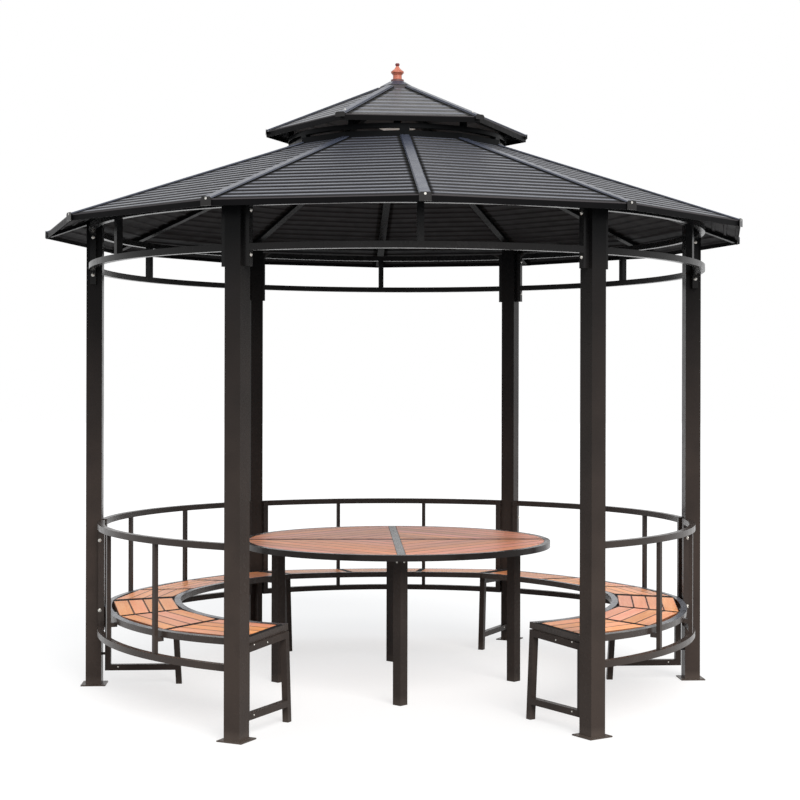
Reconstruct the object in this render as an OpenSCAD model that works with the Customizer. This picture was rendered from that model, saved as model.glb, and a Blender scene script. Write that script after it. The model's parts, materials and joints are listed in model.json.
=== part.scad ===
// Round garden gazebo with a ring bench, a round table and a two-tier metal roof.
// Millimetres, Z up, origin on the ground at the centre. The entrance faces -Y.
// Angles run round the Z axis, from 0 at the entrance towards +X.

/* [Posts] */
// Radius of the circle through the post centres
post_circle_r = 1560; // [1500:5:1620]
// Width of the square post tube
post_w = 80; // [70:1:90]
// Wall of the post tube
post_wall = 3; // [2:0.5:6]
// Width of the square foot plate
foot_w = 126; // [120:1:150]
// Thickness of the foot plate
foot_t = 6; // [4:1:12]
// Diameter of the anchor holes in the foot plate
anchor_d = 9; // [6:0.5:10]
// Distance from the edge of the foot plate to an anchor hole centre
anchor_inset = 11; // [8:0.5:12]

/* [Frame tube] */
// Width of the square tube used for rails, pickets and bench supports
tube_w = 30; // [24:1:36]

/* [Valance] */
// How far the valance rails stand outside the post circle
valance_shift = 5; // [0:1:15]
// Height of the underside of the lower valance rail
valance_z = 2125; // [2000:5:2160]
// Height from the underside of the lower rail to the top of the upper rail
valance_h = 223; // [180:1:230]
// How far the end stiles run below the lower rail
stile_drop = 67; // [40:1:120]

/* [Backrest] */
// How far the backrest rails stand inside the post circle
back_shift = 40; // [30:1:50]
// Height of the top of the backrest
back_top = 849; // [780:1:900]
// Height of the underside of the lower backrest rail
back_low = 288; // [240:1:320]
// Width of the square tube used for the backrest pickets
picket_w = 20; // [14:1:26]

/* [Bench] */
// Height of the seat's front edge at the middle of a bay
seat_z = 441; // [420:1:480]
// Slope of the seat down to the backrest, in degrees
seat_tilt = 3.3; // [0:0.1:5]
// Gap between the back of the bench and the posts' inner faces
bench_back_gap = 25; // [23:1:60]
// Depth of the bench from its back to its front edge
bench_depth = 380; // [360:5:440]
// Height of the bench frame tubes
bench_frame_h = 30; // [24:1:36]
// Width of the bench frame tubes
bench_frame_w = 32; // [26:1:38]
// Gap between the bench frames of two bays
bay_gap = 4; // [3:0.5:8]
// Boards across one seat
seat_boards = 4; // [3:1:6]
// Height of the stubs that tie the bench frame to the pickets
stub_h = 20; // [16:1:26]

/* [Bench supports] */
// Distance from the bench's front edge back to the middle of the leg's top
support_head_inset = 35; // [21:1:65]
// Distance from the bench's front edge back to the middle of the leg's foot
support_foot_inset = 11; // [0:1:45]
// Height of the underside of the support's lower bar
support_bar_z = 72; // [40:1:120]
// Space between the support and the post
support_gap = 15; // [10:1:20]
// Diameter of the spacer between the support and the post
spacer_d = 14; // [10:1:20]
// Height of the lower spacer's axis
spacer_low_z = 158; // [120:1:200]
// Height of the upper spacer's axis
spacer_high_z = 334; // [240:1:360]

/* [Table] */
// Angle by which the table is turned against the entrance
table_turn = 1.8; // [0:0.1:5]
// Radius of the table
table_r = 800; // [700:10:860]
// Height of the table top
table_z = 742; // [700:1:780]
// Width of the table rim tube
rim_w = 30; // [24:1:40]
// Height of the table rim tube
rim_h = 30; // [24:1:40]
// Width of the two bars that cross the table
cross_w = 40; // [30:1:50]
// Boards in each quarter of the table
table_boards_n = 8; // [6:1:10]
// Width of the square table leg tube
leg_w = 50; // [40:1:60]
// Radius of the circle through the leg centres
leg_r = 615; // [520:5:660]

/* [Boards] */
// Thickness of the boards
board_t = 18; // [14:1:22]
// Gap beside each board
board_gap = 4; // [2:0.5:6]
// Thickness of the ledges that carry the boards
ledge_t = 4; // [3:0.5:6]
// Width of the ledges
ledge_w = 18; // [12:1:24]

/* [Lower roof] */
// How far the eave corners stand out from the circle through the post centres
eave_overhang = 245; // [190:5:300]
// Gap between the top of the valance and the sheets above it
roof_gap = 27.6; // [10:0.1:60]
// Rise of the hips, in degrees
hip_pitch = 19.4; // [17:0.1:22]
// Corner radius of the twelve-sided crown ring
crown_r = 575; // [540:5:640]
// How far the crown ring stands above the sheets
crown_rise = 38; // [30:1:60]
// How far the crown ring hangs below the sheets
crown_drop = 22; // [20:1:40]
// Width of the rafters
rafter_w = 40; // [30:1:50]
// Depth of the rafters, square to their length
rafter_h = 16; // [12:1:30]

/* [Upper roof] */
// Angle by which the upper roof is turned against the posts
upper_turn = 2.5; // [0:0.5:5]
// How far the upper eave corners stand out from the crown ring's corners
upper_overhang = 103; // [80:1:150]
// Height of the upper eave corners above the crown ring
upper_rise = 61; // [55:1:90]
// Rise of the upper hips, in degrees
upper_pitch = 21.8; // [18:0.1:25]
// Corner radius of the opening under the apex cap
upper_crown_r = 110; // [104:1:130]
// Width of the upper rafters
upper_rafter_w = 30; // [24:1:40]
// Depth of the upper rafters, square to their length
upper_rafter_h = 20; // [16:1:26]
// Distance from the crown ring's corners in to the outside of the vent ring
vent_inset = 7; // [2:1:15]
// Height of the vent gap between the crown ring and that ring
vent_gap = 13; // [8:1:20]
// Height of that ring
vent_ring_h = 22; // [16:1:26]
// Width of the struts across the vent gap
strut_w = 48; // [30:1:60]
// Width of the studs from that ring to the rafters
stud_w = 24; // [16:1:28]
// Radius of the hub under the apex cap
hub_r = 45; // [36:1:60]
// Height of the hub
hub_h = 40; // [30:1:60]
// Radius of the king post below the hub
king_r = 20; // [12:1:26]
// Corner radius of the plate under the king post
plate_r = 95; // [80:1:110]
// Thickness of that plate
plate_t = 6; // [3:1:10]
// Height of that plate above the upper eave corners
plate_rise = 36; // [24:1:60]

/* [Roof sheets] */
// Distance from rib to rib, measured level
rib_pitch = 59.3; // [40:0.1:70]
// Height of the ribs
rib_h = 7; // [4:0.5:14]
// Thickness of the sheets
sheet_t = 3; // [2:0.5:5]
// Height of the drip edge along the eaves
drip_h = 30; // [16:1:40]
// Width of the hip caps
cap_w = 50; // [40:1:60]
// Height of the hip caps above the ribs
cap_h = 6; // [5:1:20]
// How far the end plates of the caps stand above the caps
cap_end_rise = 3; // [0:0.5:6]
// How far the lower end plates hang below the sheets
cap_end_drop = 20; // [8:1:30]
// How far the upper end plates hang below the sheets
upper_cap_end_drop = 6; // [4:1:20]

/* [Top] */
// Corner radius of the apex cap
apex_r = 90; // [80:1:96]
// Corner radius of its flat top
apex_top_r = 42; // [38:1:60]
// Height of its upright rim
apex_rim_h = 5; // [3:0.5:10]
// Height of the apex cap
apex_h = 32; // [24:1:44]
// Greatest diameter of the finial
finial_d = 68; // [56:1:72]
// Height of the finial
finial_h = 96; // [80:1:110]

/* [Hidden] */
$fn = 120;
metal = "#37302d";
wood = "#e09468";
sheet_grey = "#4c4a50";
cap_grey = "#6e7082";
plate_white = "#d8d8d4";
terracotta = "#d0603c";
fit = 0.3;                      // clearance between pieces that seat on each other
cut = 1;                        // how far a cutting solid runs past what it cuts
weld = 0.5;                     // how far welded pieces run into each other
bay = 60;                       // angle of one bay
seat_cells = 3;                 // seats in one bay
cell = bay / seat_cells;
facet = 30;                     // angle of one lower roof facet
roof_r = post_circle_r + eave_overhang;
reach = 2 * roof_r;             // longer than any piece

valance_r = post_circle_r + valance_shift;
valance_top = valance_z + valance_h;
back_r = post_circle_r - back_shift;
post_in_r = post_circle_r - post_w / 2;
bench_out_r = post_in_r - bench_back_gap;
bench_in_r = bench_out_r - bench_depth;
support_out_r = post_in_r - support_gap;
support_head_r = bench_in_r + support_head_inset;
support_foot_r = bench_in_r + support_foot_inset;
vent_r = crown_r - vent_inset;
upper_r = crown_r + upper_overhang;
frame_z = seat_z - bench_frame_h;
tan_seat = tan(seat_tilt);
table_low = table_z - rim_h;
tan_hip = tan(hip_pitch);
valance_edge_r = (valance_r + tube_w / 2) / cos(facet / 2);
eave_z = valance_top + roof_gap - (roof_r - valance_edge_r) * tan_hip;
tan_upper = tan(upper_pitch);
rib_top = rib_h + sheet_t;

// Height of the line that a roof's sheets lie on, above its hips
function hip_z(r) = eave_z + (roof_r - r) * tan_hip;
function upper_hip_z(r) = upper_z + (upper_r - r) * tan_upper;
// How much lower the sheets are at the edges of a piece of the given width on a hip
function edge_drop(w, half_angle, slope) = w / 2 * tan(half_angle) * slope;

// Height of the bench frame's underside at distance x along the middle of its bay
function seat_under(x) =
    seat_z - bench_frame_h / cos(seat_tilt) - (x - bench_in_r) * tan_seat;
// Height of the top of a bench support, which clears the frames of both its bays
function support_top(r) =
    seat_under(r * cos(bay / 2) + tube_w / 2 * sin(bay / 2)) - fit;

crown_top = hip_z(crown_r) + crown_rise;
upper_z = crown_top + upper_rise;
rafter_end = 12;                // distance from an eave corner to the rafter's end
rafter_low = rafter_h + fit + edge_drop(rafter_w, facet / 2, tan_hip);
upper_rafter_low = upper_rafter_h + fit + edge_drop(upper_rafter_w, bay / 2, tan_upper);
plate_z = upper_z + plate_rise;
upper_cap_in_r = apex_r + 2 * sheet_t;
apex_z = upper_hip_z(upper_cap_in_r) + (rib_top + cap_h) / cos(upper_pitch) + fit;

// Puts children that are drawn along +X at an angle, with 0 at the entrance
module at(angle) rotate([0, 0, angle - 90]) children();

// Solid between two upright planes through the axis, half_angle each side of +X,
// each moved in by inset
module wedge(half_angle, inset, r, z0, z1) {
    x0 = inset / sin(half_angle);
    y1 = (r - x0) * tan(half_angle);
    translate([0, 0, z0])
        linear_extrude(z1 - z0)
            polygon([[x0, 0], [r, -y1], [r, y1]]);
}

// Ring of rectangular section, given its outer radius
module ring(r_out, w, z, h) {
    rotate_extrude()
        translate([r_out - w, z])
            square([w, h]);
}

// Ring cut to one bay, ending at planes parallel to the bay's sides, inset from them
module bay_rail(r, w, z, h, inset) {
    intersection() {
        ring(r + w / 2, w, z, h);
        wedge(bay / 2, inset, reach, z - cut, z + h + cut);
    }
}

// Piece of square section centred on radius r, at angle a, moved sideways by side
module upright(r, a, side, w_r, w_t, z0, z1) {
    rotate([0, 0, a])
        translate([r - w_r / 2, side - w_t / 2, z0])
            cube([w_r, w_t, z1 - z0]);
}

// ---- posts ----

module post(angle) {
    inner_w = post_w - 2 * post_wall;
    color(metal) at(angle) {
        difference() {
            translate([post_in_r, -post_w / 2, foot_t])
                cube([post_w, post_w, hip_z(post_in_r)]);
            translate([post_in_r + post_wall, -inner_w / 2, foot_t])
                cube([inner_w, inner_w, reach]);
            above_rafter_underside();
        }
        foot_plate();
    }
}

// Everything above the underside of the rafter on the +X axis
module above_rafter_underside() {
    translate([roof_r, 0, eave_z])
        rotate([0, hip_pitch, 0])
            translate([-reach, -reach / 2, -rafter_low - fit])
                cube([2 * reach, reach, reach]);
}

module foot_plate() {
    hole_at = foot_w / 2 - anchor_inset;
    translate([post_circle_r, 0, 0])
        difference() {
            translate([-foot_w / 2, -foot_w / 2, 0])
                cube([foot_w, foot_w, foot_t]);
            for (x = [-hole_at, hole_at], y = [-hole_at, hole_at])
                translate([x, y, -cut])
                    cylinder(d = anchor_d, h = foot_t + 2 * cut);
        }
}

// ---- valance panels ----

module valance(angle) {
    side = post_w / 2 + tube_w / 2 + fit;
    stile_face = post_w / 2 + tube_w + fit;
    stile_r = sqrt(pow(valance_r, 2) - pow(stile_face, 2));
    color(metal) at(angle) {
        bay_rail(valance_r, tube_w, valance_z, tube_w, stile_face - weld);
        bay_rail(valance_r, tube_w, valance_top - tube_w, tube_w, stile_face - weld);
        upright(valance_r, 0, 0, tube_w, tube_w, valance_z + tube_w - weld,
            valance_top - tube_w + weld);
        for (end = [-1, 1])
            upright(stile_r, end * bay / 2, -end * side, tube_w, tube_w,
                valance_z - stile_drop, valance_top);
    }
}

// ---- backrests ----

module backrest(angle) {
    side = post_w / 2 + tube_w / 2 + fit;
    stile_face = post_w / 2 + tube_w + fit;
    stile_r = sqrt(pow(back_r, 2) - pow(stile_face, 2));
    color(metal) at(angle) {
        bay_rail(back_r, tube_w, back_low, tube_w, stile_face - weld);
        bay_rail(back_r, tube_w, back_top - tube_w, tube_w, stile_face - weld);
        for (a = [-cell / 2, cell / 2])
            upright(back_r, a, 0, picket_w, picket_w, back_low + tube_w - weld,
                back_top - tube_w + weld);
        for (end = [-1, 1])
            upright(stile_r, end * bay / 2, -end * side, tube_w, tube_w, back_low, back_top);
    }
}

// ---- bench ----

// Tips a level seat that is drawn along +X down to the backrest, about its front edge
module tip() {
    translate([bench_in_r, 0, seat_z])
        rotate([0, seat_tilt, 0])
            translate([-bench_in_r, 0, -seat_z])
                children();
}

module bench_frame(angle) {
    color(metal) at(angle) {
        tip() level_frame();
        for (a = [-cell / 2, cell / 2])
            rotate([0, 0, a]) stub();
    }
}

// The bench frame of one bay before it is tipped
module level_frame() {
    end_side = (bay_gap + bench_frame_w) / 2;
    intersection() {
        union() {
            ring(bench_out_r, bench_frame_w, frame_z, bench_frame_h);
            ring(bench_in_r + bench_frame_w, bench_frame_w, frame_z, bench_frame_h);
            for (a = [-cell / 2, cell / 2])
                rotate([0, 0, a]) seat_divider(0);
            for (end = [-1, 1])
                rotate([0, 0, end * bay / 2]) seat_divider(-end * end_side);
        }
        wedge(bay / 2, bay_gap / 2, reach, frame_z - cut, seat_z + cut);
    }
}

// Radial tube of the bench frame, moved sideways, with a ledge along each side for the boards
module seat_divider(side) {
    r0 = bench_in_r + bench_frame_w / 2;
    length = bench_out_r - bench_frame_w / 2 - r0;
    translate([r0, side - bench_frame_w / 2, frame_z])
        cube([length, bench_frame_w, bench_frame_h]);
    translate([r0, side - bench_frame_w / 2 - ledge_w, seat_z - board_t - ledge_t])
        cube([length, bench_frame_w + 2 * ledge_w, ledge_t]);
}

// Short tube from under the outer rail of the bench to a picket
module stub() {
    r0 = bench_out_r - bench_frame_w / 2;
    top = seat_under(r0 * cos(cell / 2)) + weld;
    translate([r0, -picket_w / 2, top - stub_h])
        cube([back_r - picket_w / 2 - fit - r0, picket_w, stub_h]);
}

// The boards of one bay: straight boards side by side across each seat, cut to the frame's tubes
module seat_boards_bay(angle) {
    r1 = bench_out_r - bench_frame_w - board_gap / 2;
    inset = (bench_frame_w + board_gap) / 2;
    x0 = bench_in_r + bench_frame_w + board_gap / 2;
    x1 = r1 * cos(cell / 2 - asin(inset / r1));
    color(wood) at(angle)
        tip()
            intersection() {
                for (a = [-cell, 0, cell])
                    rotate([0, 0, a])
                        intersection() {
                            translate([0, -reach / 2, seat_z - board_t])
                                cube([reach, reach, board_t]);
                            wedge(cell / 2, inset, reach, frame_z, seat_z + cut);
                            board_row(x0, x1, seat_boards);
                        }
                wedge(bay / 2, bay_gap / 2 + inset + bench_frame_w / 2, reach, frame_z, seat_z + cut);
            }
}

// Boards across the +X axis from x0 to x1, with a gap between neighbours
module board_row(x0, x1, count) {
    step = (x1 - x0 + board_gap) / count;
    for (k = [0 : count - 1])
        translate([x0 + k * step, -reach / 2, -cut])
            cube([step - board_gap, reach, table_z + 2 * cut]);
}

// ---- bench supports ----

module bench_supports() {
    color(metal)
        for (a = [bay / 2 : bay : 360 - bay / 2])
            at(a) bench_support();
}

// Upright frame under the bench at a post, with its inner leg on the ground
module bench_support() {
    half = tube_w / 2;
    head_in = support_head_r - half;
    head_out = support_head_r + half;
    out_top = support_top(support_out_r);
    rotate([90, 0, 0])
        translate([0, 0, -half])
            linear_extrude(tube_w) {
                polygon([[support_foot_r - half, 0], [support_foot_r + half, 0],
                    [head_out, support_top(head_out)], [head_in, support_top(head_in)]]);
                polygon([[head_in, support_top(head_in) - tube_w], [head_in, support_top(head_in)],
                    [support_out_r, out_top], [support_out_r, out_top - tube_w]]);
                translate([support_foot_r, support_bar_z])
                    square([support_out_r - support_foot_r, tube_w]);
                translate([support_out_r - tube_w, support_bar_z])
                    square([tube_w, out_top - support_bar_z - weld]);
            }
    for (z = [spacer_low_z, spacer_high_z])
        translate([support_out_r - cut, 0, z])
            rotate([0, 90, 0])
                cylinder(d = spacer_d, h = support_gap + cut - fit);
}

// ---- table ----

module table_frame() {
    ledge_z = table_z - board_t - ledge_t;
    color(metal) {
        ring(table_r, rim_w, table_low, rim_h);
        ring(table_r - rim_w / 2, rim_w / 2 + ledge_w, ledge_z, ledge_t);
        for (a = [0, 90])
            intersection() {
                rotate([0, 0, a - table_turn]) {
                    translate([-table_r, -cross_w / 2, table_low])
                        cube([2 * table_r, cross_w, rim_h]);
                    translate([-table_r, -cross_w / 2 - ledge_w, ledge_z])
                        cube([2 * table_r, cross_w + 2 * ledge_w, ledge_t]);
                }
                cylinder(r = table_r - rim_w / 2, h = table_z);
            }
    }
}

// Four quarters of straight boards, each board square to the middle of its quarter
module table_boards() {
    r = table_r - rim_w - board_gap / 2;
    corner = (cross_w + board_gap) / 2;
    color(wood)
        for (q = [45 : 90 : 315])
            rotate([0, 0, q - table_turn])
                intersection() {
                    translate([0, 0, table_z - board_t])
                        cylinder(r = r, h = board_t);
                    wedge(45, corner, reach, 0, table_z + cut);
                    board_row(corner * sqrt(2), r, table_boards_n);
                }
}

module table_legs() {
    color(metal)
        for (a = [0 : 90 : 270])
            rotate([0, 0, a - table_turn])
                translate([leg_r, 0, 0])
                    rotate([0, 0, 45])
                        translate([-leg_w / 2, -leg_w / 2, 0])
                            cube([leg_w, leg_w, table_low - fit]);
}

// ---- roofs ----

// Extrudes children along a hip above the +X axis, from radius r_out at height z_out
// in to radius r_in. In the children X is sideways and Y is square to the hip.
module along_hip(r_out, z_out, pitch, r_in) {
    translate([r_out, 0, z_out])
        rotate([0, pitch, 0])
            rotate([90, 0, -90])
                linear_extrude((r_out - r_in) / cos(pitch))
                    children();
}

// Section of a rafter that lies under the sheets
module rafter_section(w, h, low) {
    translate([-w / 2, -low])
        square([w, h]);
}

// One corrugated facet, its middle along +X. s0 and s1 are its level reach from the axis
module facet_sheet(half_angle, s0, s1, z_at_s1, slope, edge_gap) {
    n = floor((s1 - s0) / rib_pitch);
    first = s1 - n * rib_pitch;
    crest = rib_pitch * 0.66;
    ramp = rib_pitch * 0.08;
    steps = [for (i = [0 : n - 1], p = [[0, 0], [ramp, 1], [ramp + crest, 1], [2 * ramp + crest, 0]])
        [first + i * rib_pitch + p[0], p[1] * rib_h]];
    line = concat([[s0, 0]], steps, [[s1, 0]]);
    top = [for (p = line) [p[0], z_at_s1 + (s1 - p[0]) * slope + p[1] + sheet_t]];
    under = [for (i = [len(top) - 1 : -1 : 0]) [top[i][0], top[i][1] - sheet_t]];
    intersection() {
        translate([0, reach / 2, 0])
            rotate([90, 0, 0])
                linear_extrude(reach)
                    polygon(concat(top, under));
        wedge(half_angle, edge_gap, reach, 0, 2 * reach);
    }
}

// Strip that stands in front of the eave of one facet, mitred at its ends
module drip_strip(half_angle, r, z) {
    intersection() {
        translate([r * cos(half_angle) + fit, -reach / 2, z + rib_top - drip_h])
            cube([sheet_t, reach, drip_h]);
        wedge(half_angle, fit / 2, reach, 0, 2 * reach);
    }
}

// Chamfered channel that covers the joint between two facets
module cap_profile(low, high) {
    bevel = (high - low) * 0.6;
    difference() {
        polygon([[-cap_w / 2, low], [cap_w / 2, low], [cap_w / 2, high - bevel],
            [cap_w / 2 - bevel, high], [bevel - cap_w / 2, high], [-cap_w / 2, high - bevel]]);
        translate([sheet_t - cap_w / 2, low - cut])
            square([cap_w - 2 * sheet_t, high - low - sheet_t + cut]);
    }
}

// Hip cap with an end plate that closes it in front of the drip edges
module hip_cap(r, z, pitch, r_in, half_angle, end_drop) {
    slope = tan(pitch);
    plate_in = r + (fit + sheet_t) / cos(half_angle) + fit;
    run_out = plate_in + cap_w;
    notch_in = r - cap_w / 2 * tan(half_angle);
    low = (rib_top - edge_drop(cap_w, half_angle, slope)) * cos(pitch) + fit;
    high = rib_top + cap_h;
    plate_top = z - (plate_in - r) * slope + high / cos(pitch) + cap_end_rise;
    difference() {
        intersection() {
            along_hip(run_out, z - (run_out - r) * slope, pitch, r_in)
                cap_profile(low, high);
            translate([0, -cap_w, 0])
                cube([plate_in + sheet_t / 2, 2 * cap_w, reach]);
        }
        translate([notch_in, -cap_w, 0])
            cube([plate_in + weld - notch_in, 2 * cap_w, z + rib_top + fit]);
    }
    translate([plate_in, 0, 0])
        rotate([90, 0, 90])
            linear_extrude(sheet_t)
                end_plate(z - end_drop, plate_top);
}

// Outline of the end plate, a little wider than the cap, with its upper corners cut off
module end_plate(low, high) {
    side = cap_w / 2 + 1;
    bevel = cap_w * 0.14;
    polygon([[-side, low], [side, low], [side, high - bevel],
        [side - bevel, high], [bevel - side, high], [-side, high - bevel]]);
}

// ---- lower roof ----

module hip_rafters() {
    color(metal)
        for (a = [0 : facet : 359])
            at(a)
                difference() {
                    along_hip(roof_r - rafter_end, hip_z(roof_r - rafter_end), hip_pitch,
                        crown_r - tube_w)
                        rafter_section(rafter_w, rafter_h, rafter_low);
                    cylinder(r = crown_r + fit, h = reach, $fn = 12);
                }
}

module crown_ring() {
    h = crown_rise + crown_drop;
    color(metal)
        translate([0, 0, crown_top - h])
            difference() {
                cylinder(r = crown_r, h = h, $fn = 12);
                translate([0, 0, -cut])
                    cylinder(r = crown_r - tube_w / cos(facet / 2), h = h + 2 * cut, $fn = 12);
            }
}

module roof_sheets() {
    c = cos(facet / 2);
    color(sheet_grey)
        for (a = [facet / 2 : facet : 359])
            at(a)
                facet_sheet(facet / 2, (crown_r + fit) * c, roof_r * c, eave_z, tan_hip / c, sheet_t);
}

module drip_edges() {
    color(metal)
        for (a = [facet / 2 : facet : 359])
            at(a) drip_strip(facet / 2, roof_r, eave_z);
}

module hip_caps() {
    color(cap_grey)
        for (a = [0 : facet : 359])
            at(a)
                hip_cap(roof_r, eave_z, hip_pitch, crown_r + fit, facet / 2, cap_end_drop);
}

// ---- upper roof ----

module upper_frame() {
    ring_z = crown_top + vent_gap;
    strut_x = vent_r - tube_w;
    color(metal)
        difference() {
            union() {
                ring(vent_r, tube_w, ring_z, vent_ring_h);
                for (a = [0 : bay : 359])
                    at(a)
                        translate([strut_x, -strut_w / 2, crown_top + fit])
                            cube([tube_w - weld, strut_w, vent_gap]);
                for (a = [bay / 2 : bay : 359])
                    at(a + upper_turn)
                        upper_rafter_and_stud(ring_z + vent_ring_h);
                translate([0, 0, apex_z - hub_h])
                    cylinder(r = hub_r, h = hub_h);
                translate([0, 0, plate_z + plate_t + fit])
                    cylinder(r = king_r, h = apex_z - hub_h - plate_z - plate_t);
            }
            translate([0, 0, apex_z - fit])
                cylinder(r = reach, h = reach);
        }
}

// One upper rafter, with the stud that stands on the ring under it
module upper_rafter_and_stud(ring_top) {
    stud_top = upper_hip_z(vent_r) - (upper_rafter_low - upper_rafter_h / 2) / cos(upper_pitch);
    along_hip(upper_r - rafter_end, upper_hip_z(upper_r - rafter_end), upper_pitch, 0)
        rafter_section(upper_rafter_w, upper_rafter_h, upper_rafter_low);
    translate([vent_r - tube_w + weld, -stud_w / 2, ring_top - weld])
        cube([tube_w - 2 * weld, stud_w, stud_top - ring_top + weld]);
}

module hub_plate() {
    color(plate_white)
        at(bay / 2 + upper_turn)
            translate([0, 0, plate_z])
                cylinder(r = plate_r, h = plate_t, $fn = 6);
}

module upper_sheets() {
    c = cos(bay / 2);
    color(sheet_grey)
        for (a = [0 : bay : 359])
            at(a + upper_turn)
                facet_sheet(bay / 2, upper_crown_r * c, upper_r * c, upper_z, tan_upper / c, sheet_t);
}

module upper_drip_edges() {
    color(metal)
        for (a = [0 : bay : 359])
            at(a + upper_turn) drip_strip(bay / 2, upper_r, upper_z);
}

module upper_hip_caps() {
    color(cap_grey)
        for (a = [bay / 2 : bay : 359])
            at(a + upper_turn)
                hip_cap(upper_r, upper_z, upper_pitch, upper_cap_in_r, bay / 2, upper_cap_end_drop);
}

// ---- top ----

module apex_cap() {
    color(cap_grey)
        at(bay / 2 + upper_turn)
            translate([0, 0, apex_z])
                hull() {
                    cylinder(r = apex_r, h = apex_rim_h, $fn = 6);
                    cylinder(r = apex_top_r, h = apex_h, $fn = 6);
                }
}

module finial() {
    r = finial_d / 2;
    h = finial_h;
    color(terracotta)
        translate([0, 0, apex_z + apex_h + fit])
            rotate_extrude()
                polygon([[0, 0], [r, 0], [r, h * 0.10], [r * 0.69, h * 0.14], [r * 0.67, h * 0.34],
                    [r * 0.86, h * 0.44], [r * 0.98, h * 0.47], [r * 0.98, h * 0.55],
                    [r * 0.80, h * 0.60], [r * 0.46, h * 0.70], [r * 0.24, h * 0.82],
                    [r * 0.22, h * 0.85], [r * 0.34, h * 0.90], [r * 0.34, h * 0.97],
                    [r * 0.24, h], [0, h]]);
}

// ---- nodes ----

post(30);  // post_front_right
post(90);  // post_right
post(150);  // post_back_right
post(210);  // post_back_left
post(270);  // post_left
post(330);  // post_front_left
valance(0);  // valance_front
valance(60);  // valance_front_right
valance(120);  // valance_back_right
valance(180);  // valance_back
valance(240);  // valance_back_left
valance(300);  // valance_front_left
backrest(60);  // backrest_front_right
backrest(120);  // backrest_back_right
backrest(180);  // backrest_back
backrest(240);  // backrest_back_left
backrest(300);  // backrest_front_left
bench_frame(60);  // bench_frame_front_right
bench_frame(120);  // bench_frame_back_right
bench_frame(180);  // bench_frame_back
bench_frame(240);  // bench_frame_back_left
bench_frame(300);  // bench_frame_front_left
seat_boards_bay(60);  // seat_boards_front_right
seat_boards_bay(120);  // seat_boards_back_right
seat_boards_bay(180);  // seat_boards_back
seat_boards_bay(240);  // seat_boards_back_left
seat_boards_bay(300);  // seat_boards_front_left
bench_supports();
table_frame();
table_boards();
table_legs();
hip_rafters();
crown_ring();
roof_sheets();
drip_edges();
hip_caps();
upper_frame();
hub_plate();
upper_sheets();
upper_drip_edges();
upper_hip_caps();
apex_cap();
finial();
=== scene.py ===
"""Looks of the round garden gazebo: camera, light, finishes, fasteners and the apex collar.

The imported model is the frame. Lengths are in metres. Bearings are in degrees round the
Z axis, from 0 at the entrance (-Y) towards +X, as in the part's source.
"""

import json
import math

import bmesh
import bpy
from mathutils import Matrix, Vector


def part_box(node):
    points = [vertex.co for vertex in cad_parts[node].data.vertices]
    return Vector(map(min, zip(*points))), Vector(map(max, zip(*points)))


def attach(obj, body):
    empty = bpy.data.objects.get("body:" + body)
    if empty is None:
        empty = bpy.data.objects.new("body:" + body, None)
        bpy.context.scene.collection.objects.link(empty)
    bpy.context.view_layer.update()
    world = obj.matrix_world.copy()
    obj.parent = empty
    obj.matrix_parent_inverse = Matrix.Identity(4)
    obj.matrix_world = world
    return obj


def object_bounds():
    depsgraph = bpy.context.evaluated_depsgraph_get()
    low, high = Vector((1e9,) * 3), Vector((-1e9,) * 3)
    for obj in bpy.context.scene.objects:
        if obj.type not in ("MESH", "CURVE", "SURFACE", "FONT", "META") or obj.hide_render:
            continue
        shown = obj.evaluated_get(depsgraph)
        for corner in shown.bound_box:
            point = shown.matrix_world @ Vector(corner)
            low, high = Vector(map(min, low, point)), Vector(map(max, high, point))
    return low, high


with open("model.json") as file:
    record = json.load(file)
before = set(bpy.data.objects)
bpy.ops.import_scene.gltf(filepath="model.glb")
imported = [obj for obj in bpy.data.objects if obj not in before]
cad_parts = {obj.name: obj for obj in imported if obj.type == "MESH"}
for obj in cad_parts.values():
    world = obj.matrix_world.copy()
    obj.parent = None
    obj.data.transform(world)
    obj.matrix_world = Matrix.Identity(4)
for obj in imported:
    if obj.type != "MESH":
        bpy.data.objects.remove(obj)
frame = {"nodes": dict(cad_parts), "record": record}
cad_low, cad_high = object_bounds()

# ---- driving dimensions, as the part has them ----

POST_R = 1.560          # circle through the post centres
POST_W = 0.080
TUBE_W = 0.030
FIT = 0.0003
VALANCE_R = POST_R + 0.005
BACK_R = POST_R - 0.040
STILE_FACE = POST_W / 2 + TUBE_W + FIT   # a stile's face, sideways from its post's middle
BAY = 60                # degrees from one bay's middle to the next
POST_BEARINGS = range(30, 360, BAY)
BAY_BEARINGS = range(0, 360, BAY)
ENTRANCE = 0
BENCH_IN_R = 1.115
BENCH_OUT_R = 1.495
BENCH_FRAME_W = 0.032
SEATS = 3
SEAT_BOARDS = 4
TABLE_R = 0.800
TABLE_TURN = 1.8
TABLE_CROSS_W = 0.040
TABLE_BOARDS = 8
LEG_R = 0.615
LEG_W = 0.050
BOARD_GAP = 0.004
RIM_W = 0.030
FACET = 30              # degrees round each facet of the lower roof
PLATE_HALF_W = 0.026    # half the width of a hip cap's end plate
PLATE_T = 0.003
UPPER_CAP_END = 0.6816  # outer end of the upper hip caps
UPPER_CAP_IN_R = 0.096
UPPER_CROWN_R = 0.110   # corners of the opening under the apex cap
UPPER_PITCH = 21.8      # slope of the upper caps
UPPER_TURN = 2.5
RIB_PITCH = 0.0593      # from rib to rib, measured level
CREST_FROM = 0.26       # where a rib's crest begins and has its middle, in rib pitches
CREST_MIDDLE = 0.66


def turn(degrees, axis):
    return Matrix.Rotation(math.radians(degrees), 4, axis)


def bearing_matrix(bearing):
    """Turns what is drawn along +X to a bearing."""
    return turn(bearing - 90, "Z")


# ---- camera ----

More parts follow.
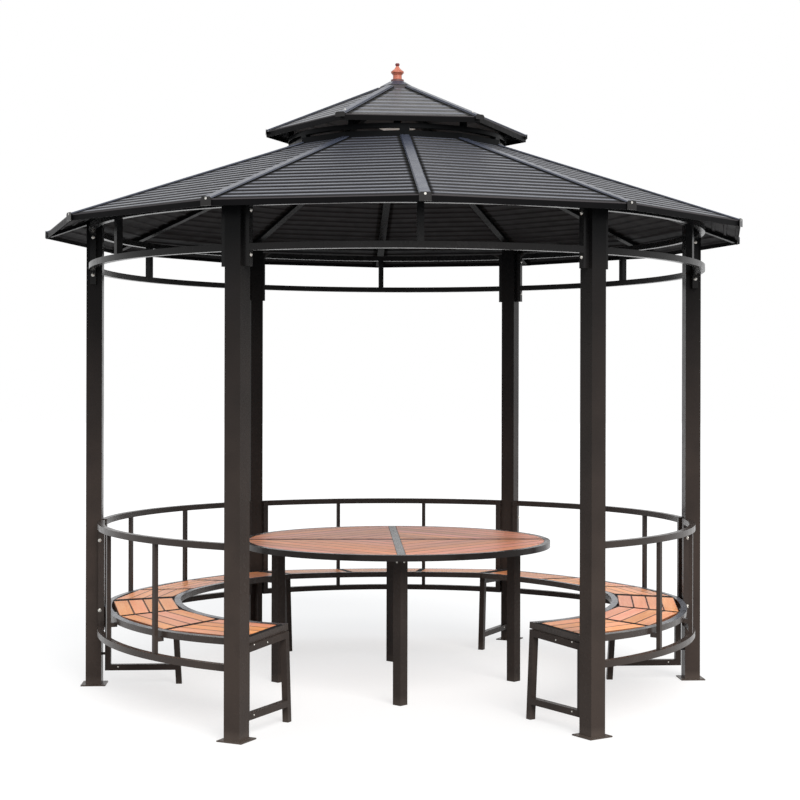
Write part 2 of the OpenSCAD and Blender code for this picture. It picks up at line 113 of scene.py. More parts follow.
CAMERA_BEARING = -3.64
CAMERA_DISTANCE = 8.277
CAMERA_HEIGHT = 1.534
CAMERA_ROLL = 0.126
CAMERA_SHIFT = (0.0041, -0.0156)
SENSOR_W = 36.0
LENS = 71.3


def make_camera():
    data = bpy.data.cameras.new("camera")
    data.sensor_width = SENSOR_W
    data.lens = LENS
    data.shift_x, data.shift_y = CAMERA_SHIFT
    data.clip_start = 0.1
    data.clip_end = 200.0
    camera = bpy.data.objects.new("camera", data)
    bpy.context.scene.collection.objects.link(camera)
    angle = math.radians(CAMERA_BEARING)
    camera.location = (
        CAMERA_DISTANCE * math.sin(angle),
        -CAMERA_DISTANCE * math.cos(angle),
        CAMERA_HEIGHT,
    )
    level = turn(CAMERA_BEARING, "Z") @ turn(90, "X")
    camera.rotation_euler = (level @ turn(CAMERA_ROLL, "Z")).to_euler()
    bpy.context.scene.camera = camera


# ---- finishes ----


class Finish:
    """A material, with short calls for the shader nodes that the finishes are made of."""

    def __init__(self, name):
        self.material = bpy.data.materials.new(name)
        self.material.use_nodes = True
        self.tree = self.material.node_tree
        self.shader = self.tree.nodes["Principled BSDF"]
        self.place = self.add("ShaderNodeTexCoord").outputs["Object"]

    def add(self, kind, **settings):
        node = self.tree.nodes.new(kind)
        for key, value in settings.items():
            setattr(node, key, value)
        return node

    def put(self, socket, value):
        """Links a socket, or sets a plain value on it."""
        if isinstance(value, bpy.types.NodeSocket):
            self.tree.links.new(value, socket)
        else:
            socket.default_value = value

    def math(self, operation, first, second=0.0):
        node = self.add("ShaderNodeMath", operation=operation)
        self.put(node.inputs[0], first)
        self.put(node.inputs[1], second)
        return node.outputs[0]

    def vector_math(self, operation, first, second=(0.0, 0.0, 0.0)):
        node = self.add("ShaderNodeVectorMath", operation=operation)
        self.put(node.inputs[0], first)
        self.put(node.inputs[1], second)
        return node.outputs[0]

    def noise(self, scale, detail, rough=0.5, vector=None):
        node = self.add("ShaderNodeTexNoise")
        self.put(node.inputs["Vector"], self.place if vector is None else vector)
        node.inputs["Scale"].default_value = scale
        node.inputs["Detail"].default_value = detail
        node.inputs["Roughness"].default_value = rough
        return node.outputs["Fac"]

    def random(self, number):
        node = self.add("ShaderNodeTexWhiteNoise", noise_dimensions="1D")
        self.put(node.inputs["W"], number)
        return node.outputs["Value"]

    def remap(self, value, low, high, out_low=0.0, out_high=1.0):
        node = self.add("ShaderNodeMapRange")
        self.put(node.inputs["Value"], value)
        node.inputs["From Min"].default_value = low
        node.inputs["From Max"].default_value = high
        node.inputs["To Min"].default_value = out_low
        node.inputs["To Max"].default_value = out_high
        return node.outputs["Result"]

    def mix(self, factor, first, second):
        """Colour between two colours: the first at factor 0, the second at 1."""
        node = self.add("ShaderNodeMix", data_type="RGBA")
        self.put(node.inputs["Factor"], factor)
        for key, value in (("A", first), ("B", second)):
            socket = next(s for s in node.inputs if s.name == key and s.type == "RGBA")
            if isinstance(value, tuple):
                value = (*value, 1.0)
            self.put(socket, value)
        return next(s for s in node.outputs if s.type == "RGBA")

    def tint(self, colour, hue, saturation, value):
        node = self.add("ShaderNodeHueSaturation")
        self.put(node.inputs["Color"], colour)
        self.put(node.inputs["Hue"], hue)
        self.put(node.inputs["Saturation"], saturation)
        self.put(node.inputs["Value"], value)
        return node.outputs["Color"]

    def parts(self, vector):
        node = self.add("ShaderNodeSeparateXYZ")
        self.put(node.inputs[0], vector)
        return node.outputs

    def vector(self, x, y, z):
        node = self.add("ShaderNodeCombineXYZ")
        for key, value in zip("XYZ", (x, y, z)):
            self.put(node.inputs[key], value)
        return node.outputs["Vector"]

    def height(self):
        return self.parts(self.place)["Z"]

    def radius(self):
        """Distance from the Z axis."""
        x, y = self.parts(self.place)[:2]
        return self.math(
            "SQRT", self.math("ADD", self.math("MULTIPLY", x, x), self.math("MULTIPLY", y, y))
        )

    def normal(self):
        return self.add("ShaderNodeNewGeometry").outputs["Normal"]

    def facing_up(self):
        """1 on level tops, 0 from about 45 degrees on."""
        return self.remap(self.parts(self.normal())["Z"], 0.7, 1.0)

    def level(self):
        """1 on level tops and undersides, 0 from about 45 degrees on."""
        return self.remap(self.math("ABSOLUTE", self.parts(self.normal())["Z"]), 0.7, 1.0)

    def cells(self, cell, first):
        """(number, middle angle, turned place) of the equal cells that lie round the axis.

        The first cell's middle is at the given angle from +X, and in the turned place +X
        runs outward along the middle of the cell.
        """
        x, y = self.parts(self.place)[:2]
        cell, first = math.radians(cell), math.radians(first)
        from_first = self.math("SUBTRACT", self.math("ARCTAN2", y, x), first)
        number = self.math("ROUND", self.math("DIVIDE", from_first, cell))
        middle = self.math("ADD", self.math("MULTIPLY", number, cell), first)
        turned = self.add("ShaderNodeVectorRotate", rotation_type="Z_AXIS")
        self.put(turned.inputs["Vector"], self.place)
        self.put(turned.inputs["Angle"], self.math("MULTIPLY", middle, -1.0))
        return number, middle, turned.outputs["Vector"]

    def bump(self, height, distance, strength, normal=None):
        node = self.add("ShaderNodeBump")
        self.put(node.inputs["Height"], height)
        if normal:
            self.put(node.inputs["Normal"], normal)
        node.inputs["Distance"].default_value = distance
        node.inputs["Strength"].default_value = strength
        self.put(self.shader.inputs["Normal"], node.outputs["Normal"])

    def finish(self, colour, roughness, specular, metallic=0.0):
        self.put(self.shader.inputs["Base Color"], colour)
        self.put(self.shader.inputs["Roughness"], roughness)
        self.shader.inputs["Specular IOR Level"].default_value = specular
        self.shader.inputs["Metallic"].default_value = metallic
        return self.material


def painted_metal(name, dark, light, dust, gloss, specular, dust_share=0.1, paint=None, shaded_matt=None):
    """Powder-coated metal: cloudy colour, fine orange peel and a little dust on its tops.

    gloss is its mean roughness. paint(finish, cloudy colour) may return another colour for
    part of the surface, and the last callback is 1 where painted shade makes it dark and matt.
    """
    f = Finish(name)
    cloud = f.remap(f.noise(2.2, 4.0), 0.3, 0.7)
    coat = f.mix(cloud, dark, light)
    if paint:
        coat = paint(f, coat)
    speck = f.remap(f.noise(900.0, 2.0), 0.35, 0.75, 0.94, 1.08)
    coat = f.tint(coat, 0.5, 1.0, speck)
    settled = f.remap(f.noise(14.0, 6.0, 0.65), 0.42, 0.72)
    lying = f.math("MULTIPLY", f.facing_up(), settled)
    colour = f.mix(f.math("MULTIPLY", lying, dust_share), coat, dust)
    rough = f.remap(f.noise(30.0, 4.0), 0.3, 0.7, gloss - 0.04, gloss + 0.06)
    rough = f.math("ADD", rough, f.math("MULTIPLY", lying, 0.08))
    # painted shade: the surface is painted dark, and made matt, where the callback is 1
    if shaded_matt:
        painted_light_mask = shaded_matt(f)
        colour = f.mix(painted_light_mask, colour, dark)
        rough = f.math("ADD", rough, f.math("MULTIPLY", painted_light_mask, 0.6))
    f.bump(f.noise(420.0, 2.0), 0.00006, 0.5)
    return f.finish(colour, rough, specular)


FRAME_DARK = (0.0045, 0.0050, 0.0055)
FRAME_LIGHT = (0.0080, 0.0085, 0.0095)
FRAME_DUST = (0.16, 0.16, 0.17)
# splashed earth and painted light at once: the lower frame is painted paler and browner, as bounce
# light
EARTH_AND_BOUNCE = (0.046, 0.035, 0.030)
FOOT_EARTH = (0.16, 0.13, 0.11)
# painted reflection of the sky on the bench rails' tops
RAIL_SHEEN = (0.115, 0.122, 0.140)


def splashed_and_shaded(share):
    """Earth splashed low on the frame, with painted light: paler low down, darkest up high in the
    roof's shade.
    """

    def paint(f, coat):
        height = f.height()
        patchy = f.remap(f.noise(5.0, 5.0), 0.3, 0.7, 0.8 * share, 1.2 * share)
        # painted light and earth: paler from 2.3 m down to 0.5 m, leaving painted shade up under
        # the roof
        low = f.math("MULTIPLY", f.remap(height, 2.3, 0.5), patchy)
        coat = f.mix(low, coat, EARTH_AND_BOUNCE)
        foot = f.math("MULTIPLY", f.remap(height, 0.05, 0.0), patchy)
        return f.mix(f.math("MULTIPLY", foot, 0.3), coat, FOOT_EARTH)

    return paint


def frame_paint(name="frame_paint", specular=0.07, earth_and_shade=1.0, shaded_matt=None):
    return painted_metal(
        name, FRAME_DARK, FRAME_LIGHT, FRAME_DUST, 0.25, specular, paint=splashed_and_shaded(earth_and_shade), shaded_matt=shaded_matt
    )


def bench_paint():
    """The bench frame's paint: a painted pale reflection on the rails' tops, and painted shade,
    dark and matt, on the tubes between the seats.

    Near the entrance the painted reflection on the rails' tops is faint.
    """
    earth_and_shade = splashed_and_shaded(0.9)

    # painted shade: the tubes between the seats, in the gaps between boards, are painted dark and
    # matt
    def between_rails(f):
        out = f.radius()
        past_inner = f.math("GREATER_THAN", out, BENCH_IN_R + BENCH_FRAME_W)
        before_outer = f.math("LESS_THAN", out, BENCH_OUT_R - BENCH_FRAME_W)
        return f.math("MULTIPLY", f.math("MULTIPLY", past_inner, before_outer), f.facing_up())

    def sheen_tops(f, coat):
        # painted reflection: the rails' tops are painted pale blue-grey, faint near the entrance
        sheen_share = f.remap(f.parts(f.place)["Y"], -1.05, -0.70, 0.15, 1.0)
        pale = f.math("MULTIPLY", f.facing_up(), sheen_share)
        return f.mix(pale, earth_and_shade(f, coat), RAIL_SHEEN)

    return painted_metal(
        "bench_paint", FRAME_DARK, FRAME_LIGHT, FRAME_DUST, 0.25, 0.22,
        dust_share=0.0, paint=sheen_tops, shaded_matt=between_rails,
    )


def table_paint():
    """The table's paint, with painted shade, dark and matt, on the bar that lies across the way
    in.
    """

    # painted shade: the bar across the way in is painted dark and matt, for the board edges'
    # shadow on it
    def cross_bar(f):
        place = f.cells(360, -TABLE_TURN)[2]     # one cell: the whole table
        x, y = (f.math("ABSOLUTE", f.parts(place)[k]) for k in "XY")
        beside = f.math("GREATER_THAN", x, TABLE_CROSS_W / 2)
        return f.math("MULTIPLY", beside, f.math("LESS_THAN", y, TABLE_CROSS_W / 2))

    return painted_metal(
        "table_paint", (0.0090, 0.0072, 0.0066), (0.0150, 0.0120, 0.0112), (0.30, 0.32, 0.36),
        0.22, 0.12, shaded_matt=cross_bar,
    )


def drip_paint(node):
    """Dark drip edge with a painted highlight on its upper edge, for its lip catching the sky."""
    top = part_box(node)[1].z

    def lit_edge(f, coat):
        # painted highlight: the top few millimetres are painted lighter, for the lip's reflection
        # of the sky
        painted_light_mask = f.remap(f.height(), top - 0.006, top - 0.003)
        return f.mix(painted_light_mask, coat, (0.065, 0.060, 0.064))

    return painted_metal(
        node + "_paint", (0.0022, 0.0023, 0.0026), (0.0046, 0.0044, 0.0050), (0.10, 0.10, 0.11),
        0.45, 0.04, paint=lit_edge,
    )


def end_plate_radius(node):
    """Distance from the axis to the inner face of the end plates of these hip caps."""
    corners = [v.co for v in frame["nodes"][node].data.vertices]
    reach = max(math.hypot(c.x, c.y) for c in corners)
    return math.sqrt(reach ** 2 - PLATE_HALF_W ** 2) - PLATE_T


def cap_paint(node):
    """Blue-grey hip caps, with painted shade on their steep sides and darker end plates beyond the
    eave.
    """
    plate_r = end_plate_radius(node) - FIT

    def shaded_sides_dark_ends(f, coat):
        # painted shade: the caps' steep sides are painted near black
        side = f.math("LESS_THAN", f.parts(f.normal())["Z"], 0.3)
        coat = f.mix(side, coat, (0.003, 0.003, 0.004))
        return f.mix(f.math("GREATER_THAN", f.radius(), plate_r), coat, (0.010, 0.009, 0.009))

    return painted_metal(
        node + "_paint", (0.028, 0.033, 0.050), (0.048, 0.055, 0.080), (0.20, 0.22, 0.28),
        0.26, 0.32, paint=shaded_sides_dark_ends,
    )


def plate_white():
    return painted_metal(
        "plate_white", (0.62, 0.62, 0.60), (0.74, 0.74, 0.72), (0.50, 0.50, 0.48), 0.45, 0.4
    )


# painted highlight on the ribs' crests, for the sky they reflect
CREST_HIGHLIGHT = (0.104, 0.112, 0.142)
# painted shadow beside the hip caps
CAP_SHADOW = (0.003, 0.003, 0.003)
CAP_SHADOW_FROM = 0.046      # distances from the hip's middle over which the painted shadow beside the hip caps sets in
CAP_SHADOW_FULL = 0.034


def sheet_paint(node, cell, first, curl, specular):
    """Ribbed roof sheet: dark cloudy paint, with painted highlights on the crests and painted
    shadow beside the hips.

    The outer side of each rib is rounded off in the shading, by curl (a tangent) at most.
    The facets lie in cells round the axis, as Finish.cells has them.
    """
    f = Finish(node + "_paint")
    cloud = f.remap(f.noise(1.6, 5.0), 0.3, 0.7)
    paint = f.mix(cloud, (0.0050, 0.0050, 0.0058), (0.0095, 0.0092, 0.0108))
    fine = f.remap(f.noise(700.0, 2.0), 0.35, 0.75, 0.9, 1.1)
    paint = f.tint(paint, 0.5, 1.0, fine)
    settled = f.remap(f.noise(9.0, 7.0, 0.7), 0.45, 0.75)
    lying = f.math("MULTIPLY", f.facing_up(), settled)
    colour = f.mix(f.math("MULTIPLY", lying, 0.12), paint, (0.12, 0.12, 0.13))

    middle, place = f.cells(cell, first)[1:]
    angle = math.radians(first)
    eave = max(
        v.co.x * math.cos(angle) + v.co.y * math.sin(angle)
        for v in frame["nodes"][node].data.vertices
    )
    inward = f.math("DIVIDE", f.math("SUBTRACT", eave, f.parts(place)["X"]), RIB_PITCH)
    outer = f.remap(f.math("FRACT", inward), CREST_FROM, CREST_MIDDLE, curl, 0.0)
    normal = f.normal()
    above = f.math("GREATER_THAN", f.parts(normal)["Z"], 0.0)
    lean = f.math("MULTIPLY", outer, above)
    # painted highlight: the outer side of each crest is painted paler, for the sky it reflects
    crest_highlight = f.math("MULTIPLY", f.remap(outer, curl * 0.5, 0.0), above)
    colour = f.mix(f.math("MULTIPLY", crest_highlight, 0.8), colour, CREST_HIGHLIGHT)
    # painted shadow: the sheet is painted near black, and rougher, in a strip beside each hip cap
    half = math.radians(cell / 2)
    to_hip = f.math("MULTIPLY", f.parts(place)["X"], math.sin(half))
    off_hip = f.math("MULTIPLY", f.math("ABSOLUTE", f.parts(place)["Y"]), math.cos(half))
    cap_shadow = f.remap(f.math("SUBTRACT", to_hip, off_hip), CAP_SHADOW_FROM, CAP_SHADOW_FULL)
    colour = f.mix(cap_shadow, colour, CAP_SHADOW)
    outward = f.vector(
        f.math("MULTIPLY", f.math("COSINE", middle), lean),
        f.math("MULTIPLY", f.math("SINE", middle), lean), 0.0,
    )
    rounded = f.vector_math("NORMALIZE", f.vector_math("ADD", normal, outward))
    f.bump(f.noise(60.0, 3.0), 0.0003, 0.5, rounded)

    rough = f.remap(f.noise(12.0, 5.0), 0.3, 0.7, 0.28, 0.40)
    rough = f.math("ADD", rough, f.math("MULTIPLY", f.math("SUBTRACT", 1.0, above), 0.4))
    rough = f.math("ADD", rough, f.math("MULTIPLY", cap_shadow, 0.7))
    return f.finish(colour, rough, specular)


def finial_paint():
    """Terracotta stain, darker on the knob and on the foot."""
    f = Finish("finial_paint")
    low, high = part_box("finial")
    tall = high.z - low.z
    knob_z = low.z + 0.84 * tall
    foot_z = low.z + 0.12 * tall
    height = f.height()
    knob = f.remap(height, knob_z - 0.003, knob_z + 0.003)
    foot = f.remap(height, foot_z + 0.002, foot_z - 0.002)
    cloud = f.remap(f.noise(40.0, 5.0), 0.3, 0.7)
    colour = f.mix(cloud, (0.38, 0.105, 0.062), (0.52, 0.165, 0.105))
    colour = f.mix(knob, colour, (0.13, 0.012, 0.014))
    colour = f.mix(foot, colour, (0.12, 0.045, 0.040))
    rings = f.noise(1.0, 3.0, 0.5, f.vector_math("MULTIPLY", f.place, (40.0, 40.0, 900.0)))
    f.bump(rings, 0.0003, 0.5)
    return f.finish(colour, f.remap(f.noise(60.0, 3.0), 0.3, 0.7, 0.34, 0.46), 0.5)


def zinc():
    """Bright plated steel of the bolts and screws."""
    f = Finish("zinc")
    cloud = f.remap(f.noise(300.0, 4.0), 0.3, 0.7)
    colour = f.mix(cloud, (0.46, 0.45, 0.42), (0.66, 0.65, 0.61))
    f.bump(f.noise(1500.0, 2.0), 0.00005, 0.5)
    return f.finish(colour, f.remap(f.noise(500.0, 3.0), 0.3, 0.7, 0.26, 0.40), 0.5, 0.75)


GAP_SHADE_W = 0.0045         # width of the painted shade along a board's edge, for the dark gap beside it


def board_wood(name, cell, first, start, step, dark, light, fibre, light_lift):
    """Stained boards that lie across the middle of each cell, as Finish.cells has them.

    Boards start at that distance from the axis and follow each other by step. Each board has
    its own tone and its own grain, from dark to light, and painted shade along its edges for
    the dark gaps. fibre is the share of the dark stain in the fibres, and the last value is
    painted light added to every board's tone.
    """
    f = Finish(name)
    count, _, place = f.cells(cell, first)
    across = f.math("DIVIDE", f.math("SUBTRACT", f.parts(place)["X"], start), step)
    number = f.math("ADD", f.math("FLOOR", across), f.math("MULTIPLY", count, 37.0))
    shade = f.random(number)
    other = f.random(f.math("ADD", number, 0.37))

    moved = f.vector(f.math("MULTIPLY", shade, 7.0), f.math("MULTIPLY", other, 11.0), 0.0)
    board = f.vector_math("ADD", place, moved)
    bands = f.noise(1.0, 4.0, 0.55, f.vector_math("MULTIPLY", board, (46.0, 2.2, 46.0)))
    fibres = f.noise(1.0, 5.0, 0.6, f.vector_math("MULTIPLY", board, (420.0, 9.0, 420.0)))
    stain = f.mix(f.remap(bands, 0.32, 0.68), dark, light)
    stain = f.mix(f.remap(fibres, 0.35, 0.75, 0.0, fibre), stain, (0.38, 0.080, 0.020))
    colour = f.tint(
        stain,
        f.remap(other, 0.0, 1.0, 0.49, 0.506),
        f.remap(other, 0.0, 1.0, 0.90, 1.04),
        f.remap(shade, 0.0, 1.0, 0.80 + light_lift, 1.10 + light_lift),
    )
    # painted shade: each board's edges are painted dark, for the shade in the gaps between boards
    within = f.math("FRACT", across)
    rim = f.math("MINIMUM", within, f.math("SUBTRACT", (step - BOARD_GAP) / step, within))
    gap_shade = f.remap(rim, GAP_SHADE_W / step, GAP_SHADE_W / 3 / step, 0.0, 0.8)
    colour = f.mix(gap_shade, colour, (0.09, 0.022, 0.010))
    f.bump(f.math("ADD", fibres, f.math("MULTIPLY", bands, 0.6)), 0.0006, 0.6)
    return f.finish(colour, f.remap(fibres, 0.3, 0.7, 0.32, 0.45), 0.5)


def row_step(first, last, count):
    """Distance from one board to the next in a row of boards from first to last."""
    return (last - first + BOARD_GAP) / count


def seat_wood():
    inset = (BENCH_FRAME_W + BOARD_GAP) / 2
    outer = BENCH_OUT_R - BENCH_FRAME_W - BOARD_GAP / 2
    cell = BAY / SEATS
    start = BENCH_IN_R + BENCH_FRAME_W + BOARD_GAP / 2
    end = outer * math.cos(math.radians(cell / 2) - math.asin(inset / outer))
    # painted light: the seat stain is paler than the table's and lifted, to make up for the shade
    # that the seats lie in
    return board_wood(
        "seat_wood", cell, BAY / 2, start, row_step(start, end, SEAT_BOARDS),
        (0.90, 0.285, 0.085), (1.00, 0.415, 0.150), fibre=0.25, light_lift=0.09,
    )


def table_wood():
    start = (TABLE_CROSS_W + BOARD_GAP) / 2 * math.sqrt(2)
    end = TABLE_R - RIM_W - BOARD_GAP / 2
    return board_wood(
        "table_wood", 90.0, 45.0 - TABLE_TURN, start, row_step(start, end, TABLE_BOARDS),
        (0.60, 0.155, 0.048), (0.92, 0.310, 0.105), fibre=0.4, light_lift=0.0,
    )


def dress_nodes():
    """Gives each node of the part the finish of its name or kind, or else of its slot."""
    # painted shade: the crown ring's and upper frame's level tops and undersides are painted dark
    # and matt, for the shade under the upper roof
    ring = frame_paint("ring_paint", 0.03, shaded_matt=Finish.level)
    rails = frame_paint("rail_paint", 0.15, 0.9)
    by_name = {
        "table_boards": table_wood(),
        "table_legs": frame_paint("leg_paint", earth_and_shade=0.6),
        "bench_supports": frame_paint("support_paint", earth_and_shade=0.8),
        "hip_rafters": frame_paint("rafter_paint", 0.03),
        "crown_ring": ring,
        "upper_frame": ring,
        "roof_sheets": sheet_paint("roof_sheets", FACET, FACET / 2, 0.95, 0.22),
        "upper_sheets": sheet_paint("upper_sheets", BAY, BAY / 2 + UPPER_TURN, 0.15, 0.45),
    }
    by_kind = {"bench_frame": bench_paint(), "valance": rails, "backrest": rails}
    by_slot = {
        "frame_paint": frame_paint(),
        "board_wood": seat_wood(),
        "table_paint": table_paint(),
        "plate_white": plate_white(),
        "finial_paint": finial_paint(),
    }
    made_for_node = {"cap_paint": cap_paint, "drip_paint": drip_paint}
    slots = {part["node"]: part["material_slot"] for part in frame["record"]["subparts"]}
    for name, node in frame["nodes"].items():
        kind = next((k for k in by_kind if name.startswith(k)), None)
        slot = slots[name]
        if name in by_name:
            look = by_name[name]
        elif kind:
            look = by_kind[kind]
        elif slot in made_for_node:
            look = made_for_node[slot](name)
        else:
            look = by_slot[slot]
        node.data.materials.clear()
        node.data.materials.append(look)


# ---- fasteners ----

BOLT_D = 0.013
SCREW_D = 0.009
SMALL_D = 0.006
HEAD_SIDES = 18
FLUSH = 0.00004         # how far a countersunk head stands out
VALANCE_BOLTS = (2.107, 2.300)          # heights
BACKREST_BOLTS = (0.390, 0.748)
BACKREST_BOLT_OUT = 0.006               # from the backrest's middle line out to its bolts
SUPPORT_BOLTS = ((1.438, 0.400), (1.325, 0.394), (1.438, 0.090))   # radius, height
LEG_BOLT_Z = 0.693
PLATE_SCREW_Z = 2.327
CAP_SCREW_IN = 0.053    # from an upper cap's outer end in to its screw
FACING = {"out": turn(90, "Y"), "left": turn(-90, "X"), "right": turn(90, "X")}


def turned(mesh, profile, place):
    """Adds a solid turned round local Z: profile is (radius, height) pairs from outside in."""
    corners = [2 * math.pi * k / HEAD_SIDES for k in range(HEAD_SIDES)]
    rings = []
    for radius, height in profile:
        if radius == 0:
            rings.append([mesh.verts.new(place @ Vector((0, 0, height)))])
            continue
        rings.append([
            mesh.verts.new(place @ Vector((radius * math.cos(a), radius * math.sin(a), height)))
            for a in corners
        ])
    for lower, upper in zip(rings, rings[1:]):
        for k in range(HEAD_SIDES):
            n = (k + 1) % HEAD_SIDES
            if len(upper) == 1:
                mesh.faces.new((lower[k], lower[n], upper[0]))
            else:
                mesh.faces.new((lower[k], lower[n], upper[n], upper[k]))
    mesh.faces.new(list(reversed(rings[0])))


def button_head(mesh, place, diameter):
    """A washer and a domed head with a socket in it, standing on the plane z = 0."""
    r = diameter / 2
    turned(mesh, [
        (r * 1.35, 0.0), (r * 1.35, r * 0.14), (r * 1.28, r * 0.20), (r, r * 0.20),
        (r * 0.97, r * 0.42), (r * 0.82, r * 0.68), (r * 0.50, r * 0.84),
        (r * 0.42, r * 0.86), (r * 0.38, r * 0.46), (0.0, r * 0.40),
    ], place)


def flat_head(mesh, place, diameter):
    """A countersunk head, almost flush with the plane z = 0."""
    r = diameter / 2
    turned(mesh, [
        (r, -0.0010), (r, FLUSH / 2), (r * 0.9, FLUSH), (r * 0.5, FLUSH), (0.0, FLUSH),
    ], place)


def along(bearing, radius, side, height, facing):
    """Place at a radius and a bearing, moved sideways, with local Z the way it faces."""
    place = bearing_matrix(bearing) @ Matrix.Translation((radius, side, height))
    return place @ FACING[facing]


def add_piece(name, mesh, look, smooth=True):
    """Makes a piece of the mesh, with the given finish."""
    bmesh.ops.recalc_face_normals(mesh, faces=mesh.faces)
    data = bpy.data.meshes.new(name)
    mesh.to_mesh(data)
    mesh.free()
    for face in data.polygons:
        face.use_smooth = smooth
    data.materials.append(look)
    piece = bpy.data.objects.new(name, data)
    bpy.context.scene.collection.objects.link(piece)
    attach(piece, "root")


def stile_bolts(name, look, bays, radius, heights):
    """Bolts through the end uprights of the panels in these bays, on the sides of the posts."""
    mesh = bmesh.new()
    for bearing in POST_BEARINGS:
        for side, facing in ((-1, "right"), (1, "left")):
            if (bearing + side * BAY / 2) % 360 not in bays:
                continue
            for height in heights:
                place = along(bearing, radius, side * STILE_FACE, height, facing)
                button_head(mesh, place, BOLT_D)
    add_piece(name, mesh, look)


def support_bolts(look):
    """Bolts through the bars under the bench, on both sides of each frame."""
    mesh = bmesh.new()
    for bearing in POST_BEARINGS:
        for side, facing in ((TUBE_W / 2, "left"), (-TUBE_W / 2, "right")):
            for radius, height in SUPPORT_BOLTS:
                button_head(mesh, along(bearing, radius, side, height, facing), SMALL_D)
    add_piece("support_bolts", mesh, look)


def leg_bolts(look):
    """A bolt near the top of each outward face of the table's legs."""
    mesh = bmesh.new()
    on_face = Matrix.Translation((LEG_W / 2, 0, LEG_BOLT_Z)) @ FACING["out"]
    for quarter in range(4):
        leg = bearing_matrix(90 * quarter - TABLE_TURN) @ Matrix.Translation((LEG_R, 0, 0))
        for face in (-45, 45):
            button_head(mesh, leg @ turn(face, "Z") @ on_face, SCREW_D)
    add_piece("leg_bolts", mesh, look)


def cap_screws(look):
    """A screw near the top of each end plate, and one on each upper cap near its end."""
    mesh = bmesh.new()
    plate_r = end_plate_radius("hip_caps") + PLATE_T
    for bearing in range(0, 360, FACET):
        flat_head(mesh, along(bearing, plate_r, 0.0, PLATE_SCREW_Z, "out"), 1.2 * SCREW_D)
    radius = UPPER_CAP_END - CAP_SCREW_IN
    fall = (radius - UPPER_CAP_IN_R) * math.tan(math.radians(UPPER_PITCH))
    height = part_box("apex_cap")[0].z - FIT - fall
    for bearing in POST_BEARINGS:
        flat = bearing_matrix(bearing + UPPER_TURN) @ Matrix.Translation((radius, 0, height))
        button_head(mesh, flat @ turn(UPPER_PITCH, "Y"), SCREW_D)
    add_piece("cap_screws", mesh, look)


SKIRT_IN_R = 0.088
SKIRT_OUT_R = 0.118
SKIRT_T = 0.002
SKIRT_LIP_T = 0.0015


def apex_skirt(look):
    """Sheet collar that closes the joint between the apex cap and the upper sheets."""
    mesh = bmesh.new()
    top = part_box("apex_cap")[0].z - FIT
    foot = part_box("upper_sheets")[1].z
    lip = foot - (SKIRT_OUT_R - UPPER_CROWN_R) * math.tan(math.radians(UPPER_PITCH))
    section = [
        (SKIRT_IN_R, top), (UPPER_CAP_IN_R, top), (SKIRT_OUT_R, lip + SKIRT_LIP_T),
        (SKIRT_OUT_R, lip), (UPPER_CAP_IN_R, top - SKIRT_T), (SKIRT_IN_R, top - SKIRT_T),
    ]
    rings = [
        [mesh.verts.new(bearing_matrix(b + UPPER_TURN) @ Vector((r, 0, z))) for r, z in section]
        for b in POST_BEARINGS
    ]
    for ring, after in zip(rings, rings[1:] + rings[:1]):
        for k in range(len(section)):
            n = (k + 1) % len(section)
            mesh.faces.new((ring[k], ring[n], after[n], after[k]))
    add_piece("apex_skirt", mesh, look, smooth=False)


# ---- light and floor ----

ROOM_STRENGTH = 0.85
SUN_STRENGTH = 3.3
SUN_SPREAD = 40         # degrees across
SUN_TILT = (52, 0, 15)  # degrees round X, Y and Z
FLOOR_REACH = 60.0
FLOOR_DROP = 0.0005     # keeps the floor clear of the feet
FLOOR_SHADOW = 0.32     # share of the floor's own shading in what is seen of it


def seen_directly(tree):
    """1 for what the camera sees, also in a mirror or through glass, else 0."""
    path = tree.nodes.new("ShaderNodeLightPath")
    total = path.outputs["Is Camera Ray"]
    for name in ("Is Glossy Ray", "Is Transmission Ray"):
        node = tree.nodes.new("ShaderNodeMath")
        node.operation = "MAXIMUM"
        tree.links.new(total, node.inputs[0])
        tree.links.new(path.outputs[name], node.inputs[1])
        total = node.outputs[0]
    return total


def make_world():
    world = bpy.data.worlds.new("studio")
    world.use_nodes = True
    bpy.context.scene.world = world
    tree = world.node_tree
    tree.nodes.clear()
    room = tree.nodes.new("ShaderNodeBackground")
    room.inputs["Color"].default_value = (0.93, 0.96, 1.0, 1.0)
    room.inputs["Strength"].default_value = ROOM_STRENGTH
    white = tree.nodes.new("ShaderNodeBackground")
    white.inputs["Color"].default_value = (1.0, 1.0, 1.0, 1.0)
    white.inputs["Strength"].default_value = 1.0
    mix = tree.nodes.new("ShaderNodeMixShader")
    out = tree.nodes.new("ShaderNodeOutputWorld")
    tree.links.new(seen_directly(tree), mix.inputs[0])
    tree.links.new(room.outputs[0], mix.inputs[1])
    tree.links.new(white.outputs[0], mix.inputs[2])
    tree.links.new(mix.outputs[0], out.inputs[0])


def make_sun():
    data = bpy.data.lights.new("sun", "SUN")
    data.energy = SUN_STRENGTH
    data.angle = math.radians(SUN_SPREAD)
    data.color = (1.0, 0.97, 0.93)
    sun = bpy.data.objects.new("sun", data)
    sun.rotation_euler = [math.radians(a) for a in SUN_TILT]
    bpy.context.scene.collection.objects.link(sun)


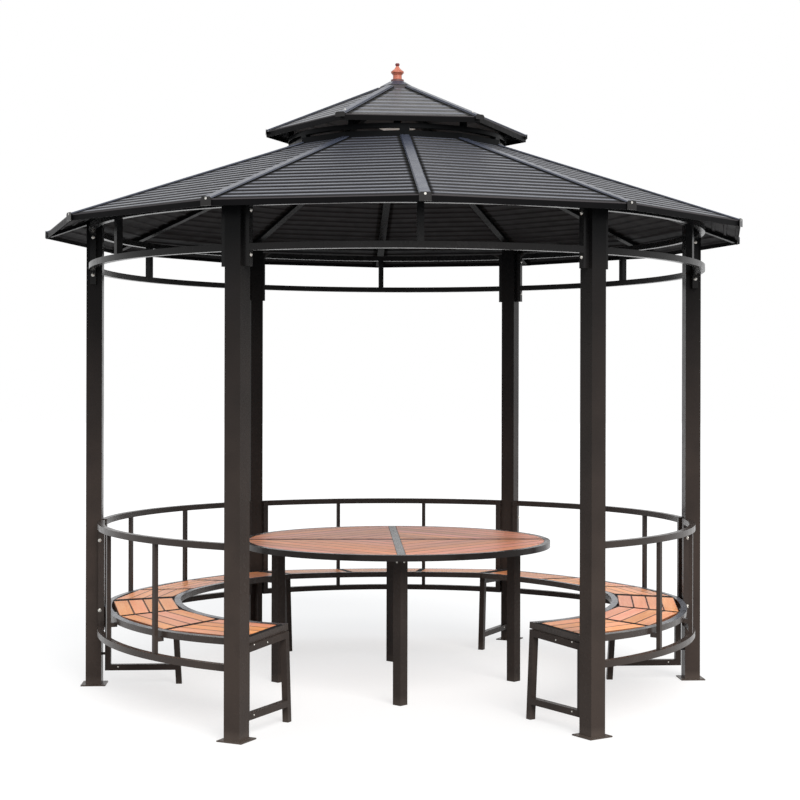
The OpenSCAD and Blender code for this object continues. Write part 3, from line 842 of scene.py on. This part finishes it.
def make_floor():
    """A wide pale floor that keeps the gazebo's soft shadow."""
    mesh = bmesh.new()
    height = cad_low.z - FLOOR_DROP
    corners = [
        (sx * FLOOR_REACH, sy * FLOOR_REACH, height)
        for sx, sy in ((-1, -1), (1, -1), (1, 1), (-1, 1))
    ]
    mesh.faces.new([mesh.verts.new(corner) for corner in corners])
    data = bpy.data.meshes.new("floor")
    mesh.to_mesh(data)
    mesh.free()
    floor = bpy.data.objects.new("floor", data)
    bpy.context.scene.collection.objects.link(floor)
    material = bpy.data.materials.new("floor")
    material.use_nodes = True
    tree = material.node_tree
    tree.nodes.clear()
    near = tree.nodes.new("ShaderNodeBsdfDiffuse")
    near.inputs["Color"].default_value = (0.37, 0.365, 0.35, 1.0)
    shaded = tree.nodes.new("ShaderNodeBsdfDiffuse")
    shaded.inputs["Color"].default_value = (0.99, 0.99, 0.99, 1.0)
    white = tree.nodes.new("ShaderNodeEmission")
    seen = tree.nodes.new("ShaderNodeMixShader")
    seen.inputs[0].default_value = FLOOR_SHADOW
    tree.links.new(white.outputs[0], seen.inputs[1])
    tree.links.new(shaded.outputs[0], seen.inputs[2])
    mix = tree.nodes.new("ShaderNodeMixShader")
    out = tree.nodes.new("ShaderNodeOutputMaterial")
    tree.links.new(seen_directly(tree), mix.inputs[0])
    tree.links.new(near.outputs[0], mix.inputs[1])
    tree.links.new(seen.outputs[0], mix.inputs[2])
    tree.links.new(mix.outputs[0], out.inputs["Surface"])
    data.materials.append(material)


# ---- scene ----

bpy.context.scene.view_settings.view_transform = "Standard"
make_camera()
make_world()
make_sun()
make_floor()
dress_nodes()
bolt_zinc = zinc()
valance_bolt_r = math.sqrt(VALANCE_R ** 2 - STILE_FACE ** 2)
benches = set(BAY_BEARINGS) - {ENTRANCE}
stile_bolts("valance_bolts", bolt_zinc, BAY_BEARINGS, valance_bolt_r, VALANCE_BOLTS)
stile_bolts("backrest_bolts", bolt_zinc, benches, BACK_R + BACKREST_BOLT_OUT, BACKREST_BOLTS)
support_bolts(bolt_zinc)
leg_bolts(bolt_zinc)
cap_screws(bolt_zinc)
# The collar takes the upper drip edges' paint, as painted shade for the shadowed joint under the
# apex cap.
apex_skirt(frame["nodes"]["upper_drip_edges"].data.materials[0])
